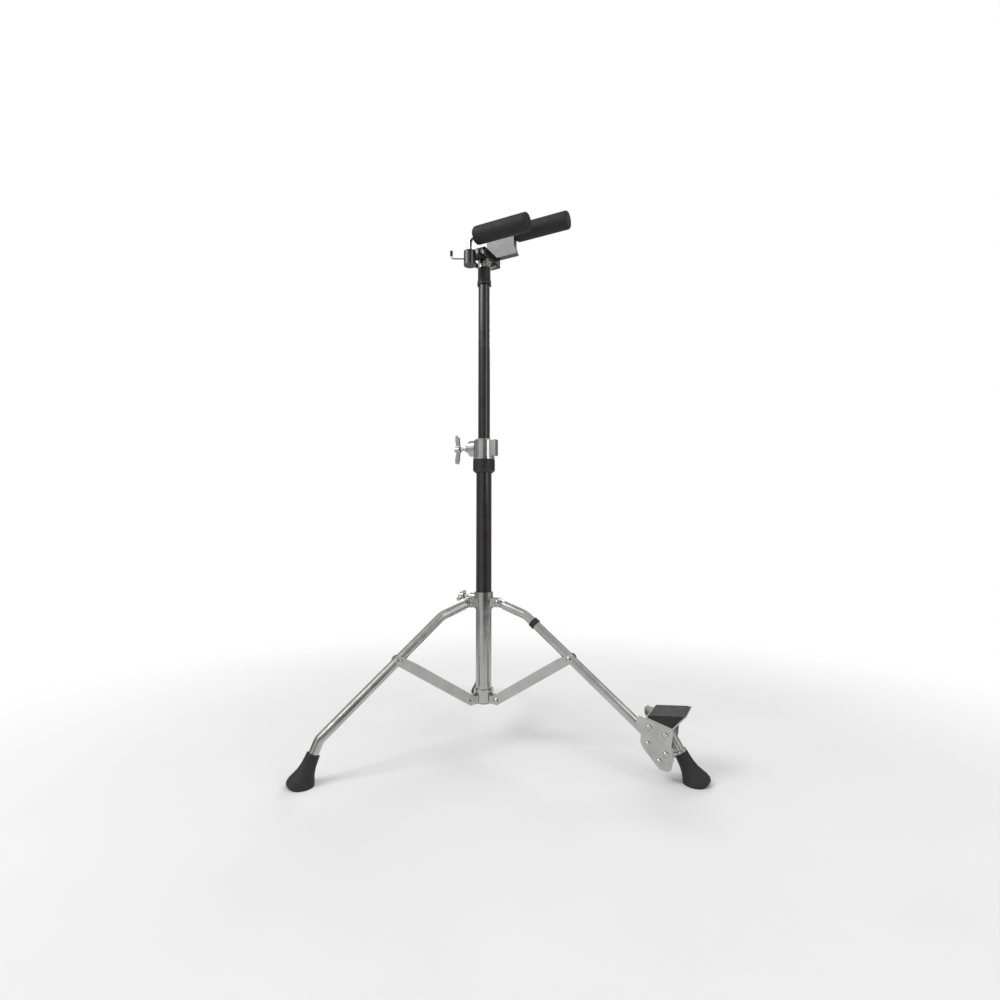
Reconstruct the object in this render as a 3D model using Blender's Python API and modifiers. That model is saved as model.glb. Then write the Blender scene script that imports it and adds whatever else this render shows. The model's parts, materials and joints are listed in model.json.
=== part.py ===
"""Cello stand: folding tripod, telescopic column, two-arm yoke and a padded cradle on the front leg.

Metres, +Z up. The front leg, which carries the cradle, points along +X. The column stands on the
Z axis while the pieces are made, and the whole stand is moved at the end so that its origin is the
centre of its footprint, on the floor.
"""

import math

import bmesh
import bpy
from mathutils import Matrix, Vector

# Overall set-up
LEG_COUNT = 3
TOUCH_GAP = 0.0003        # air left between pieces that touch
SLIDE_GAP = 0.0004        # radial play of the pieces that slide or turn on each other

# Column tubes
LOWER_TUBE_RADIUS = 0.0143
LOWER_TUBE_WALL = 0.0014
UPPER_TUBE_RADIUS = 0.0111
UPPER_TUBE_WALL = 0.0012
COLUMN_FOOT_Z = 0.0725    # lower end of the column, above the floor
PAINT_LINE_Z = 0.2610     # where the black tube is pressed over the chrome one
PRESS_LENGTH = 0.040      # how far the chrome tube's reduced end reaches into the black one
LOWER_TUBE_TOP_Z = 0.5000
UPPER_TUBE_TOP_Z = 0.8525
UPPER_TUBE_LENGTH = 0.450

# Leg linkage in the plane of a leg: radius from the column's axis, and height
HINGE_RADIUS = 0.030      # both collars' pivots stand this far from the axis
TOP_PIVOT_Z = 0.252
BOTTOM_PIVOT_Z = 0.080
JUNCTION_RADIUS = 0.167   # where the brace meets the leg, half-way up between the two pivots
LEG_SLOPE = math.radians(39.3)
KNEE_RADIUS = 0.085
ANKLE_RADIUS = 0.2935
FOOT_SLOPE = math.radians(66.0)
FRONT_LEG_END_RADIUS = 0.3115
LEG_BOLT_RADIUS = 0.3005  # the cradle's bolt through the front leg

LEG_TUBE_RADIUS = 0.00795
LEG_TUBE_WALL = 0.0012
KNEE_BEND_RADIUS = 0.024
ANKLE_BEND_RADIUS = 0.016
LEG_TUBE_START = 0.0125   # distance from the hinge to the end of the leg tube

EYE_THICKNESS = 0.0078
EYE_RADIUS = 0.0072
EYE_SPIGOT_DEPTH = 0.022
EAR_THICKNESS = 0.0026
EAR_RADIUS = 0.0080

BRACE_SHEET = 0.0014
BRACE_END_RADIUS = 0.0078
BRACE_WEB_START = 0.015   # from the lower pivot to the web
BRACE_WEB_END = 0.030     # from the web to the junction

RIVET_RADIUS = 0.0024
RIVET_HEAD_RADIUS = 0.0046
RIVET_HEAD_HEIGHT = 0.0020

# Collars
TOP_COLLAR_RADIUS = 0.0172
TOP_COLLAR_LOW_Z = 0.2404
TOP_COLLAR_HIGH_Z = 0.2700
BOTTOM_COLLAR_RADIUS = 0.0178
BOTTOM_COLLAR_LOW_Z = 0.0745
BOTTOM_COLLAR_HIGH_Z = 0.0965
END_CAP_FLANGE = 0.0020
END_CAP_PLUG = 0.0120

# Wing bolts: a stem along the bolt's axis, a hub and two wings
WING_STEM_RADIUS = 0.0030
WING_HUB_RADIUS = 0.0070
WING_HUB_LENGTH = 0.0110
WING_SPAN = 0.0560
WING_DEPTH = 0.0120
WING_THICKNESS = 0.0042
SMALL_WING_SPAN = 0.0300
SMALL_WING_DEPTH = 0.0100
TOP_COLLAR_BOLT_Z = 0.2610
TOP_COLLAR_BOLT_REACH = 0.0520
TOP_BOLT_BOSS_RADIUS = 0.0062
TOP_BOLT_BOSS_REACH = 0.0280

# Height clamp at the top of the lower tube
CLAMP_SLEEVE_RADIUS = 0.0205
CLAMP_SLEEVE_LOW_Z = 0.4895
CLAMP_SLEEVE_HIGH_Z = 0.5135
CLAMP_RING_RADIUS = 0.0203
CLAMP_RING_HEIGHT = 0.0040
CLAMP_BODY_RADIUS = 0.0193
CLAMP_BODY_TOP_Z = 0.5520
CLAMP_BOLT_Z = 0.5365
CLAMP_BOSS_REACH = 0.0385
CLAMP_BOSS_ROOT_RADIUS = 0.0150
CLAMP_BOSS_TIP_RADIUS = 0.0062
CLAMP_BOLT_REACH = 0.0620
CLAMP_RIB_REACH = 0.0265
CLAMP_RIB_WIDTH = 0.0110
CLAMP_RIB_MARGIN = 0.0020
GUIDE_LENGTH = 0.0300       # plastic guide on the foot of the upper tube

# Top of the column
BUSHING_HEIGHT = 0.0270
BUSHING_LOW_RADIUS = 0.0134
BUSHING_HIGH_RADIUS = 0.0122
BUSHING_SKIRT = 0.0060
POST_RADIUS = 0.0050
NUT_HEIGHT = 0.0157
NUT_LOW_RADIUS = 0.0115
NUT_HIGH_RADIUS = 0.0150
NUT_WING_SPAN = 0.0440
NUT_WING_THICKNESS = 0.0050

# Yoke head
HEAD_LOW_Z = 0.8960
HEAD_HIGH_Z = 0.9130
HEAD_DEPTH = 0.0260
HEAD_NEAR_Y = -0.0205
HEAD_FAR_Y = 0.0440
ARM_ROD_RADIUS = 0.0040
ARM_SLEEVE_RADIUS = 0.0164
ARM_SLEEVE_LENGTH = 0.1080
ARM_SLEEVE_END = 0.0080     # rubber beyond the end of the rod
NEAR_ARM_Y = -0.0380
NEAR_ARM_Z = 0.9255
NEAR_ARM_START_X = 0.0010
NEAR_POST_X = -0.0100
FAR_ARM_Y = 0.0370
FAR_ARM_Z = 0.9550
FAR_ARM_START_X = 0.0490
NEAR_BLOCK_RADIUS = 0.0112
NEAR_BLOCK_LOW_Z = 0.8720
NEAR_BLOCK_HIGH_Z = 0.8985
BRACKET_THICKNESS = 0.0130
BRACKET_REAR_X = -0.0110
BRACKET_TOE = 0.0040
HOOK_WIRE_RADIUS = 0.0015
HOOK_REACH = 0.0270
HOOK_RISE = 0.0130
HOOK_Z = 0.8845
HOOK_HEADING = math.radians(208.6)
HOOK_TIP_RADIUS = 0.0026
HOOK_TIP_LENGTH = 0.0100

# Cradle on the front leg, in the plane of that leg
CRADLE_HALF_WIDTH = 0.0300
CRADLE_SHEET = 0.0020
LEDGE_START = (0.2985, 0.0967)
LEDGE_END = (0.3372, 0.0850)
LIP_LENGTH = 0.0275
LIP_SLOPE = math.radians(47.0)
PLATE_BOLT_HEAD_RADIUS = 0.0042
PLATE_BOLT_HEAD_HEIGHT = 0.0026
PLATE_BOLT_RADIUS = 0.0024
PLATE_SPACER_RADIUS = 0.0040
STUB_RIM = (0.3442, 0.0419)
STUB_SLOPE = math.radians(60.5)
STUB_TOP_Z = 0.0810
STUB_RING_HEIGHT = 0.0035

# Rubber feet
FOOT_RIM_RADIUS = 0.0104
FOOT_BASE_RADIUS = 0.0215
FOOT_SOCKET_DEPTH = 0.0240
FOOT_RIM_HEIGHT = 0.0430    # height above the floor of the middle of the rim

# Rubber band on the front leg
BAND_THICKNESS = 0.0012
BAND_WIDTH = 0.0095

ROUND_STEPS = 32
TUBE_STEPS = 24

for old in list(bpy.data.objects):
    bpy.data.objects.remove(old, do_unlink=True)

stand = bpy.data.collections.new("cello_stand")
cutters = bpy.data.collections.new("cutters")
bpy.context.scene.collection.children.link(stand)
bpy.context.scene.collection.children.link(cutters)


def material(name, color, metallic, roughness):
    made = bpy.data.materials.new(name)
    made.use_nodes = True
    shader = made.node_tree.nodes["Principled BSDF"]
    shader.inputs["Base Color"].default_value = (*color, 1.0)
    shader.inputs["Metallic"].default_value = metallic
    shader.inputs["Roughness"].default_value = roughness
    return made


CHROME = ("chrome", (0.62, 0.62, 0.62), 1.0, 0.15)
BLACK_PAINT = ("black_paint", (0.018, 0.015, 0.015), 0.0, 0.35)
RUBBER = ("rubber", (0.014, 0.014, 0.014), 0.0, 0.75)
PLASTIC = ("plastic", (0.02, 0.02, 0.02), 0.0, 0.5)


def pivot(name, location, turn=0.0, parent=None):
    """Empty on a joint's axis; its children are moved by that joint."""
    empty = bpy.data.objects.new(name, None)
    empty.location = location
    empty.rotation_euler = (0, 0, turn)
    empty.parent = parent
    stand.objects.link(empty)
    return empty


def place(obj, parent, location=(0, 0, 0), rotation=(0, 0, 0), finish=None):
    obj.parent = parent
    obj.location = location
    obj.rotation_euler = rotation
    if finish:
        label, color, metallic, roughness = finish
        obj.data.materials.clear()
        obj.data.materials.append(material(obj.name + "_" + label, color, metallic, roughness))
    return obj


def link(name, mesh, collection=stand):
    obj = bpy.data.objects.new(name, mesh)
    collection.objects.link(obj)
    return obj


def frozen(obj, collection=stand):
    """Mesh object with every modifier and curve setting made real, and loose caps welded."""
    bpy.context.view_layer.update()
    evaluated = obj.evaluated_get(bpy.context.evaluated_depsgraph_get())
    mesh = bpy.data.meshes.new_from_object(evaluated)
    name = obj.name
    bpy.data.objects.remove(obj, do_unlink=True)
    shape = bmesh.new()
    shape.from_mesh(mesh)
    bmesh.ops.remove_doubles(shape, verts=shape.verts, dist=0.00001)
    bmesh.ops.recalc_face_normals(shape, faces=shape.faces)
    shape.to_mesh(mesh)
    shape.free()
    return link(name, mesh, collection)


def turned(name, profile, steps=ROUND_STEPS, ring=False):
    """Solid of revolution about Z. The profile runs down the outer side, top to bottom."""
    mesh = bpy.data.meshes.new(name)
    count = len(profile)
    edges = [(index, index + 1) for index in range(count - 1)]
    if ring:
        edges.append((count - 1, 0))
    mesh.from_pydata([(radius, 0, height) for radius, height in profile], edges, [])
    obj = link(name, mesh)
    screw = obj.modifiers.new("Turn", "SCREW")
    screw.steps = steps
    screw.render_steps = steps
    screw.use_merge_vertices = True
    screw.merge_threshold = 0.00001
    screw.use_smooth_shade = True
    return obj


def cylinder(name, radius, low, high, steps=ROUND_STEPS):
    return turned(name, [(0, high), (radius, high), (radius, low), (0, low)], steps)


def pipe(name, outer, inner, low, high, steps=ROUND_STEPS):
    return turned(name, [(outer, high), (outer, low), (inner, low), (inner, high)], steps, ring=True)


def box(name, size, centre=(0, 0, 0)):
    shape = bmesh.new()
    bmesh.ops.create_cube(shape, size=1.0)
    bmesh.ops.scale(shape, vec=size, verts=shape.verts)
    bmesh.ops.translate(shape, vec=centre, verts=shape.verts)
    mesh = bpy.data.meshes.new(name)
    shape.to_mesh(mesh)
    shape.free()
    return link(name, mesh)


def sheet(name, outline, thickness, holes=()):
    """Flat plate in the XZ plane, centred on y = 0, with round holes (x, z, radius)."""
    data = bpy.data.curves.new(name, "CURVE")
    data.dimensions = "2D"
    data.fill_mode = "BOTH"
    data.extrude = thickness / 2
    loops = [outline]
    for x, z, radius in holes:
        loops.append([(x + radius * math.cos(step * math.tau / 14), z + radius * math.sin(step * math.tau / 14))
                      for step in range(14)])
    for loop in loops:
        spline = data.splines.new("POLY")
        spline.points.add(len(loop) - 1)
        for point, (x, z) in zip(spline.points, loop):
            point.co = (x, z, 0, 1)
        spline.use_cyclic_u = True
    obj = link(name, data)
    obj = frozen(obj)
    obj.data.transform(Matrix.Rotation(math.pi / 2, 4, "X"))
    return obj


def rod(name, points, radius, capped=True, resolution=3):
    """Round bar along the points."""
    data = bpy.data.curves.new(name, "CURVE")
    data.dimensions = "3D"
    data.bevel_depth = radius
    data.bevel_resolution = resolution
    data.use_fill_caps = capped
    spline = data.splines.new("POLY")
    spline.points.add(len(points) - 1)
    for point, place_at in zip(spline.points, points):
        point.co = (*place_at, 1)
    return frozen(link(name, data))


def arc(centre, radius, start, end, steps):
    """Points of an arc in a plane, both ends included."""
    return [(centre[0] + radius * math.cos(start + (end - start) * step / steps),
             centre[1] + radius * math.sin(start + (end - start) * step / steps))
            for step in range(steps + 1)]


def rounded_corner(before, corner, after, radius, steps=4):
    """Arc that replaces the corner between two straight runs."""
    before, corner, after = Vector(before), Vector(corner), Vector(after)
    back = (before - corner).normalized()
    ahead = (after - corner).normalized()
    half = back.angle(ahead) / 2
    middle = corner + (back + ahead).normalized() * (radius / math.sin(half))
    first = corner + back * (radius / math.tan(half)) - middle
    turn = first.angle_signed(corner + ahead * (radius / math.tan(half)) - middle)
    return [tuple(middle + Matrix.Rotation(-turn * step / steps, 2) @ first) for step in range(steps + 1)]


def combine(obj, others, operation="UNION"):
    """Boolean of the object with each of the others, which are used up."""
    for other in others:
        modifier = obj.modifiers.new(operation.title(), "BOOLEAN")
        modifier.operation = operation
        modifier.object = other
        obj = frozen(obj)
        bpy.data.objects.remove(other, do_unlink=True)
    return obj


def shifted(obj, matrix):
    """Moves the finished mesh itself."""
    if obj.modifiers:
        obj = frozen(obj)
    obj.data.transform(matrix)
    return obj


def shade(obj):
    obj.data.shade_smooth()
    obj.data.set_sharp_from_angle(angle=math.radians(35))
    return obj


ACROSS = Matrix.Rotation(-math.pi / 2, 4, "X")     # turns a Z axis to +Y
OUTWARD = Matrix.Rotation(math.pi / 2, 4, "Y")     # turns a Z axis to +X
BACKWARD = Matrix.Rotation(-math.pi / 2, 4, "Y")   # turns a Z axis to -X


def at(x, y, z):
    return Matrix.Translation((x, y, z))


def leg_height(radius):
    """Height of a leg tube's centre line below the knee."""
    junction_z = (TOP_PIVOT_Z + BOTTOM_PIVOT_Z) / 2
    return junction_z + (JUNCTION_RADIUS - radius) * math.tan(LEG_SLOPE)


def rivet(name, half_span, shank=RIVET_RADIUS, head=RIVET_HEAD_RADIUS, height=RIVET_HEAD_HEIGHT):
    """Rivet along Y through a joint, with a domed head at each end."""
    top = half_span + TOUCH_GAP
    profile = [(0, top + height), (head * 0.6, top + height), (head, top + height * 0.4), (head, top),
               (shank, top), (shank, -top), (head, -top), (head, -top - height * 0.4),
               (head * 0.6, -top - height), (0, -top - height)]
    return shifted(turned(name, profile, 16), ACROSS)


def rivet_head(name, side, inner, outer):
    """Rivet end in one wall of a brace: a short shank and its head, on one side of the leg."""
    profile = [(0, outer + TOUCH_GAP + RIVET_HEAD_HEIGHT), (RIVET_HEAD_RADIUS * 0.6, outer + TOUCH_GAP + RIVET_HEAD_HEIGHT),
               (RIVET_HEAD_RADIUS, outer + TOUCH_GAP + RIVET_HEAD_HEIGHT * 0.4), (RIVET_HEAD_RADIUS, outer + TOUCH_GAP),
               (RIVET_RADIUS, outer + TOUCH_GAP), (RIVET_RADIUS, inner), (0, inner)]
    turn = ACROSS if side > 0 else Matrix.Rotation(math.pi / 2, 4, "X")
    return shifted(turned(name, profile, 16), turn)


# Column: a chrome foot tube pressed into a black tube
root = pivot("column_base", (0, 0, 0))
bore = LOWER_TUBE_RADIUS - LOWER_TUBE_WALL
neck = bore - TOUCH_GAP
foot_tube = turned("column_foot_tube", [
    (neck, PAINT_LINE_Z + PRESS_LENGTH), (neck, PAINT_LINE_Z - TOUCH_GAP),
    (LOWER_TUBE_RADIUS, PAINT_LINE_Z - TOUCH_GAP), (LOWER_TUBE_RADIUS, COLUMN_FOOT_Z),
    (bore, COLUMN_FOOT_Z), (bore, PAINT_LINE_Z - 0.006),
    (neck - LOWER_TUBE_WALL, PAINT_LINE_Z), (neck - LOWER_TUBE_WALL, PAINT_LINE_Z + PRESS_LENGTH)], ring=True)
place(foot_tube, root, finish=CHROME)
black_tube = pipe("column_black_tube", LOWER_TUBE_RADIUS, bore, PAINT_LINE_Z, LOWER_TUBE_TOP_Z)
place(black_tube, root, finish=BLACK_PAINT)
end_cap = turned("column_end_cap", [
    (0, COLUMN_FOOT_Z + END_CAP_PLUG), (bore - TOUCH_GAP, COLUMN_FOOT_Z + END_CAP_PLUG),
    (bore - TOUCH_GAP, COLUMN_FOOT_Z - TOUCH_GAP), (LOWER_TUBE_RADIUS, COLUMN_FOOT_Z - TOUCH_GAP),
    (LOWER_TUBE_RADIUS * 0.85, COLUMN_FOOT_Z - END_CAP_FLANGE), (0, COLUMN_FOOT_Z - END_CAP_FLANGE)])
place(end_cap, root, finish=PLASTIC)

LEG_TURNS = [index * math.tau / LEG_COUNT for index in range(LEG_COUNT)]
LEG_NAMES = ["front", "rear_left", "rear_right"]
EYE_EAR_OFFSET = EYE_THICKNESS / 2 + TOUCH_GAP + EAR_THICKNESS / 2
LUG_HALF = LEG_TUBE_RADIUS


def ear_outline(root_x, pivot_z, radius):
    end = arc((HINGE_RADIUS, pivot_z), radius, -math.pi / 2, math.pi / 2, 8)
    return [(root_x, pivot_z - radius)] + end + [(root_x, pivot_z + radius)]


# Lower collar, fixed on the foot tube, with a lug for each brace
lower_collar = frozen(pipe("bottom_collar", BOTTOM_COLLAR_RADIUS, LOWER_TUBE_RADIUS + TOUCH_GAP,
                           BOTTOM_COLLAR_LOW_Z, BOTTOM_COLLAR_HIGH_Z))
lugs = []
for turn in LEG_TURNS:
    lug = sheet("lug", ear_outline(BOTTOM_COLLAR_RADIUS - 0.0022, BOTTOM_PIVOT_Z, 0.0072), 2 * LUG_HALF,
                [(HINGE_RADIUS, BOTTOM_PIVOT_Z, RIVET_RADIUS + SLIDE_GAP)])
    lugs.append(shifted(lug, Matrix.Rotation(turn, 4, "Z")))
lower_collar = combine(lower_collar, lugs)
place(shade(lower_collar), root, finish=CHROME)

# Upper collar slides on the column; two ears take each leg's eye
top_slide = pivot("top_collar_slide", (0, 0, 0), parent=root)
upper_collar = frozen(pipe("top_collar", TOP_COLLAR_RADIUS, LOWER_TUBE_RADIUS + SLIDE_GAP,
                           TOP_COLLAR_LOW_Z, TOP_COLLAR_HIGH_Z))
additions = []
for turn in LEG_TURNS:
    for side in (-1, 1):
        ear = sheet("ear", ear_outline(TOP_COLLAR_RADIUS - 0.0022, TOP_PIVOT_Z, EAR_RADIUS), EAR_THICKNESS,
                    [(HINGE_RADIUS, TOP_PIVOT_Z, RIVET_RADIUS + SLIDE_GAP)])
        ear.data.transform(at(0, side * EYE_EAR_OFFSET, 0))
        additions.append(shifted(ear, Matrix.Rotation(turn, 4, "Z")))
boss = cylinder("boss", TOP_BOLT_BOSS_RADIUS, TOP_COLLAR_RADIUS - 0.0015, TOP_BOLT_BOSS_REACH, TUBE_STEPS)
additions.append(shifted(boss, at(0, 0, TOP_COLLAR_BOLT_Z) @ BACKWARD))
upper_collar = combine(upper_collar, additions)
bolt_hole = cylinder("hole", WING_STEM_RADIUS + SLIDE_GAP, LOWER_TUBE_RADIUS - 0.001, TOP_BOLT_BOSS_REACH + 0.002, 16)
upper_collar = combine(upper_collar, [shifted(bolt_hole, at(0, 0, TOP_COLLAR_BOLT_Z) @ BACKWARD)], "DIFFERENCE")
place(shade(upper_collar), top_slide, finish=CHROME)


def wing_bolt(name, start, reach, hub_start, span, depth):
    """Bolt along +Z from start to reach, with a hub and two wings that flare outwards."""
    bolt = frozen(turned(name, [
        (0, reach), (WING_HUB_RADIUS * 0.7, reach), (WING_HUB_RADIUS, reach - 0.002),
        (WING_HUB_RADIUS * 0.9, hub_start + 0.001), (WING_HUB_RADIUS * 0.8, hub_start),
        (WING_STEM_RADIUS, hub_start), (WING_STEM_RADIUS, start), (0, start)], 20))
    half = span / 2
    middle = (reach + hub_start) / 2
    wings = sheet("wings", [
        (-half, middle), (-half * 0.94, middle + depth * 0.42), (-half * 0.62, middle + depth * 0.44),
        (-WING_HUB_RADIUS * 0.8, middle + depth * 0.2), (WING_HUB_RADIUS * 0.8, middle + depth * 0.2),
        (half * 0.62, middle + depth * 0.44), (half * 0.94, middle + depth * 0.42), (half, middle),
        (half * 0.86, middle - depth * 0.22), (half * 0.45, middle - depth * 0.3),
        (WING_HUB_RADIUS * 0.8, middle - depth * 0.38), (-WING_HUB_RADIUS * 0.8, middle - depth * 0.38),
        (-half * 0.45, middle - depth * 0.3), (-half * 0.86, middle - depth * 0.22)], WING_THICKNESS)
    return shade(combine(bolt, [wings]))


collar_bolt_turn = pivot("top_collar_bolt_turn", (-TOP_BOLT_BOSS_REACH, 0, TOP_COLLAR_BOLT_Z), parent=top_slide)
collar_bolt = wing_bolt("top_collar_wing_bolt", LOWER_TUBE_RADIUS + TOUCH_GAP, TOP_COLLAR_BOLT_REACH,
                        TOP_COLLAR_BOLT_REACH - WING_HUB_LENGTH, SMALL_WING_SPAN, SMALL_WING_DEPTH)
collar_bolt.data.transform(at(TOP_BOLT_BOSS_REACH, 0, 0) @ BACKWARD @ Matrix.Rotation(math.radians(62), 4, "Z"))
place(collar_bolt, collar_bolt_turn, finish=CHROME)

# Height clamp: black socket, chrome ring and chrome clamp body with a bolt boss
socket_z = LOWER_TUBE_TOP_Z + TOUCH_GAP
guide_bore = UPPER_TUBE_RADIUS + SLIDE_GAP
sleeve = turned("clamp_sleeve", [
    (CLAMP_SLEEVE_RADIUS - 0.001, CLAMP_SLEEVE_HIGH_Z), (CLAMP_SLEEVE_RADIUS, CLAMP_SLEEVE_HIGH_Z - 0.001),
    (CLAMP_SLEEVE_RADIUS, CLAMP_SLEEVE_LOW_Z + 0.004), (LOWER_TUBE_RADIUS + 0.0022, CLAMP_SLEEVE_LOW_Z),
    (LOWER_TUBE_RADIUS + TOUCH_GAP, CLAMP_SLEEVE_LOW_Z), (LOWER_TUBE_RADIUS + TOUCH_GAP, socket_z),
    (guide_bore, socket_z), (guide_bore, CLAMP_SLEEVE_HIGH_Z)], ring=True)
place(sleeve, root, finish=PLASTIC)
ring_low = CLAMP_SLEEVE_HIGH_Z + TOUCH_GAP
ring_high = ring_low + CLAMP_RING_HEIGHT
place(pipe("clamp_ring", CLAMP_RING_RADIUS, guide_bore, ring_low, ring_high), root, finish=CHROME)
clamp_low = ring_high + TOUCH_GAP
clamp = frozen(turned("clamp_body", [
    (CLAMP_BODY_RADIUS - 0.003, CLAMP_BODY_TOP_Z), (CLAMP_BODY_RADIUS, CLAMP_BODY_TOP_Z - 0.003),
    (CLAMP_BODY_RADIUS, clamp_low), (guide_bore, clamp_low), (guide_bore, CLAMP_BODY_TOP_Z)], ring=True))
clamp_boss = turned("boss", [
    (0, CLAMP_BOSS_REACH), (CLAMP_BOSS_TIP_RADIUS, CLAMP_BOSS_REACH), (CLAMP_BOSS_TIP_RADIUS, CLAMP_BOSS_REACH - 0.003),
    (CLAMP_BOSS_ROOT_RADIUS, CLAMP_BODY_RADIUS + 0.009), (CLAMP_BOSS_ROOT_RADIUS, CLAMP_BODY_RADIUS - 0.005),
    (0, CLAMP_BODY_RADIUS - 0.005)], TUBE_STEPS)
clamp_boss = shifted(clamp_boss, at(0, 0, CLAMP_BOLT_Z) @ BACKWARD)
rib_height = CLAMP_BODY_TOP_Z - clamp_low - 2 * CLAMP_RIB_MARGIN
rib_depth = CLAMP_RIB_REACH - CLAMP_BODY_RADIUS + 0.003
rib = box("rib", (rib_depth, CLAMP_RIB_WIDTH, rib_height),
          (CLAMP_RIB_REACH - rib_depth / 2, 0, (CLAMP_BODY_TOP_Z + clamp_low) / 2))
clamp = combine(clamp, [clamp_boss, rib])
bolt_hole = cylinder("hole", WING_STEM_RADIUS + SLIDE_GAP, UPPER_TUBE_RADIUS - 0.002, CLAMP_BOSS_REACH + 0.002, 16)
tube_hole = cylinder("hole", guide_bore, clamp_low - 0.002, CLAMP_BODY_TOP_Z + 0.002)
clamp = combine(clamp, [frozen(tube_hole), shifted(bolt_hole, at(0, 0, CLAMP_BOLT_Z) @ BACKWARD)], "DIFFERENCE")
place(shade(clamp), root, finish=CHROME)

clamp_bolt_turn = pivot("clamp_bolt_turn", (-CLAMP_BOSS_REACH, 0, CLAMP_BOLT_Z), parent=root)
clamp_bolt = wing_bolt("clamp_wing_bolt", UPPER_TUBE_RADIUS + TOUCH_GAP, CLAMP_BOLT_REACH,
                       CLAMP_BOLT_REACH - WING_HUB_LENGTH, WING_SPAN, WING_DEPTH)
clamp_bolt.data.transform(at(CLAMP_BOSS_REACH, 0, 0) @ BACKWARD)
place(clamp_bolt, clamp_bolt_turn, finish=CHROME)

# Upper tube with its guide and the bushing that takes the head's post
mast = pivot("height_slide", (0, 0, 0), parent=root)
upper_low = UPPER_TUBE_TOP_Z - UPPER_TUBE_LENGTH
upper_bore = UPPER_TUBE_RADIUS - UPPER_TUBE_WALL
place(pipe("upper_tube", UPPER_TUBE_RADIUS, upper_bore, upper_low, UPPER_TUBE_TOP_Z), mast, finish=BLACK_PAINT)
guide = turned("upper_tube_guide", [
    (0, upper_low + 0.014), (upper_bore - TOUCH_GAP, upper_low + 0.014), (upper_bore - TOUCH_GAP, upper_low - TOUCH_GAP),
    (bore - SLIDE_GAP, upper_low - TOUCH_GAP), (bore - SLIDE_GAP, upper_low - GUIDE_LENGTH),
    (0, upper_low - GUIDE_LENGTH)], TUBE_STEPS)
place(guide, mast, finish=PLASTIC)
bushing_top = UPPER_TUBE_TOP_Z + BUSHING_HEIGHT
bushing = turned("top_bushing", [
    (POST_RADIUS + TOUCH_GAP, bushing_top), (BUSHING_HIGH_RADIUS - 0.001, bushing_top),
    (BUSHING_HIGH_RADIUS, bushing_top - 0.001),
    (BUSHING_HIGH_RADIUS, UPPER_TUBE_TOP_Z + BUSHING_SKIRT), (BUSHING_LOW_RADIUS, UPPER_TUBE_TOP_Z),
    (BUSHING_LOW_RADIUS, UPPER_TUBE_TOP_Z - BUSHING_SKIRT),
    (UPPER_TUBE_RADIUS + TOUCH_GAP, UPPER_TUBE_TOP_Z - BUSHING_SKIRT),
    (UPPER_TUBE_RADIUS + TOUCH_GAP, UPPER_TUBE_TOP_Z + TOUCH_GAP), (POST_RADIUS + TOUCH_GAP, UPPER_TUBE_TOP_Z + TOUCH_GAP)],
    ring=True)
place(bushing, mast, finish=PLASTIC)
post = turned("head_post", [
    (0, HEAD_HIGH_Z - 0.002), (POST_RADIUS, HEAD_HIGH_Z - 0.002), (POST_RADIUS, UPPER_TUBE_TOP_Z - 0.010),
    (upper_bore - TOUCH_GAP, UPPER_TUBE_TOP_Z - 0.012), (upper_bore - TOUCH_GAP, UPPER_TUBE_TOP_Z - 0.030),
    (0, UPPER_TUBE_TOP_Z - 0.030)], TUBE_STEPS)
place(post, mast, finish=CHROME)

nut_turn = pivot("head_nut_turn", (0, 0, bushing_top), parent=mast)
nut_low = bushing_top + TOUCH_GAP
nut_high = nut_low + NUT_HEIGHT
wing_high = nut_high - 0.0042
nut = frozen(turned("head_wing_nut", [
    (NUT_HIGH_RADIUS * 0.8, nut_high), (NUT_HIGH_RADIUS * 0.8, nut_high - 0.004), (NUT_LOW_RADIUS, nut_low + 0.003),
    (NUT_LOW_RADIUS, nut_low), (POST_RADIUS + SLIDE_GAP, nut_low), (POST_RADIUS + SLIDE_GAP, nut_high)], TUBE_STEPS, ring=True))
nut_wings = []
for side in (-1, 1):
    nut_wings.append(sheet("wing", [
        (side * NUT_LOW_RADIUS * 0.75, nut_low + 0.001), (side * (NUT_LOW_RADIUS + 0.004), nut_low + 0.002),
        (side * NUT_WING_SPAN / 2, wing_high - 0.005), (side * NUT_WING_SPAN / 2, wing_high - 0.001),
        (side * (NUT_WING_SPAN / 2 - 0.006), wing_high), (side * NUT_LOW_RADIUS * 0.75, wing_high - 0.005)],
        NUT_WING_THICKNESS))
nut = shade(combine(nut, nut_wings))
nut.data.transform(Matrix.Rotation(math.radians(28.6), 4, "Z"))
nut.data.transform(at(0, 0, -bushing_top))
place(nut, nut_turn, finish=CHROME)

# Yoke head, which swivels on the post
head_turn = pivot("head_swivel", (0, 0, HEAD_LOW_Z), parent=mast)
to_head = at(0, 0, -HEAD_LOW_Z)
head_span = HEAD_FAR_Y - HEAD_NEAR_Y
head = box("yoke_head", (HEAD_DEPTH, head_span, HEAD_HIGH_Z - HEAD_LOW_Z),
           (0, (HEAD_FAR_Y + HEAD_NEAR_Y) / 2, (HEAD_HIGH_Z + HEAD_LOW_Z) / 2))
rounding = head.modifiers.new("Edges", "BEVEL")
rounding.width = 0.0025
rounding.segments = 2
head = frozen(head)
step_block = box("step", (HEAD_DEPTH * 0.8, HEAD_NEAR_Y - NEAR_ARM_Y + 0.006, NEAR_BLOCK_HIGH_Z - HEAD_LOW_Z + 0.004),
                 (-0.003, (NEAR_ARM_Y + HEAD_NEAR_Y + 0.006) / 2, (NEAR_BLOCK_HIGH_Z + HEAD_LOW_Z - 0.004) / 2))
clamp_eye = cylinder("eye", NEAR_BLOCK_RADIUS, NEAR_BLOCK_LOW_Z, NEAR_BLOCK_HIGH_Z, TUBE_STEPS)
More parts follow.
